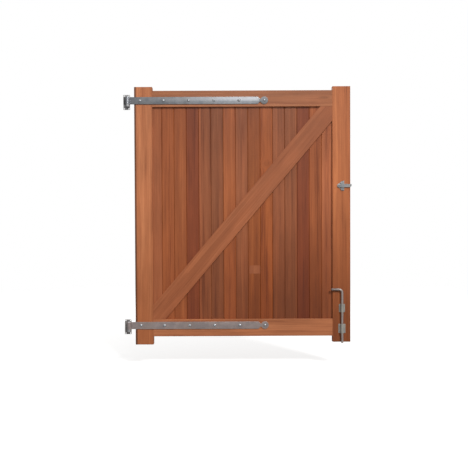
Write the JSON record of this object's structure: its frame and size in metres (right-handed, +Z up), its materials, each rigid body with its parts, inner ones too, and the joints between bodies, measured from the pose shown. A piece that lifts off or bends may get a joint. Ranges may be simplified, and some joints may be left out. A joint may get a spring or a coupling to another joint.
{
  "type": "garden gate",
  "caption": "Tall boarded and braced timber garden gate leaf on two galvanised strap hinges, with a drop bolt and a lift latch on its closing stile.",
  "frame": {"origin": "on the back face of the lower post plate, behind the hinge pin's axis, level with the lower strap's centre line", "axes": "+X from the hanging side to the closing side, +Y from the rear face to the front face, +Z up along the hinge pins"},
  "size_m": [1.582, 0.086, 1.792],
  "materials": {
    "frame_hardwood": "oiled red-brown hardwood, eased arrises",
    "board_hardwood": "oiled red-brown hardwood boards, tone varying board to board",
    "brace_hardwood": "oiled red-brown hardwood",
    "wedge_hardwood": "darker hardwood end grain",
    "galvanised_steel": "dull hot-dip galvanised",
    "zinc_plated_steel": "bright zinc plate",
    "bright_nail_steel": "weathered bright steel"
  },
  "bodies": {
    "post_plates": {"lower_post_plate": "galvanised_steel", "lower_pintle": "galvanised_steel", "upper_post_plate": "galvanised_steel", "upper_pintle": "galvanised_steel"},
    "leaf": {"hanging_stile": "frame_hardwood", "closing_stile": "frame_hardwood", "top_rail": "frame_hardwood", "bottom_rail": "frame_hardwood", "brace": "brace_hardwood", "board_01": "board_hardwood", "board_02": "board_hardwood", "board_03": "board_hardwood", "board_04": "board_hardwood", "board_05": "board_hardwood", "board_06": "board_hardwood", "board_07": "board_hardwood", "board_08": "board_hardwood", "board_09": "board_hardwood", "board_10": "board_hardwood", "board_11": "board_hardwood", "board_12": "board_hardwood", "board_13": "board_hardwood", "board_14": "board_hardwood", "board_15": "board_hardwood", "tenon_wedges": "wedge_hardwood", "brace_nails": "bright_nail_steel", "lower_strap": "galvanised_steel", "lower_strap_bolts": "zinc_plated_steel", "lower_strap_washers": "zinc_plated_steel", "lower_strap_nuts": "zinc_plated_steel", "upper_strap": "galvanised_steel", "upper_strap_bolts": "zinc_plated_steel", "upper_strap_washers": "zinc_plated_steel", "upper_strap_nuts": "zinc_plated_steel", "latch_plate": "galvanised_steel", "latch_staple": "galvanised_steel", "latch_pivot": "zinc_plated_steel", "latch_screws": "zinc_plated_steel", "upper_guide": "galvanised_steel", "lower_guide": "galvanised_steel", "guide_screws": "zinc_plated_steel"},
    "latch_bar_body": {"latch_bar": "galvanised_steel"},
    "drop_bolt_body": {"drop_bolt": "galvanised_steel"}
  },
  "joints": [
    {"name": "leaf_swing", "type": "hinge", "parent": "post_plates", "child": "leaf", "pos_m": [0, -0.024, 0], "axis": [0, 0, -1], "range_deg": [0, 170]},
    {"name": "latch_lift", "type": "hinge", "parent": "leaf", "child": "latch_bar_body", "pos_m": [1.462, -0.01, 0.969], "axis": [0, -1, 0], "range_deg": [0, 11]},
    {"name": "bolt_drop", "type": "slide", "parent": "leaf", "child": "drop_bolt_body", "axis": [0, 0, -1], "range_m": [0, 0.08]}
  ]
}
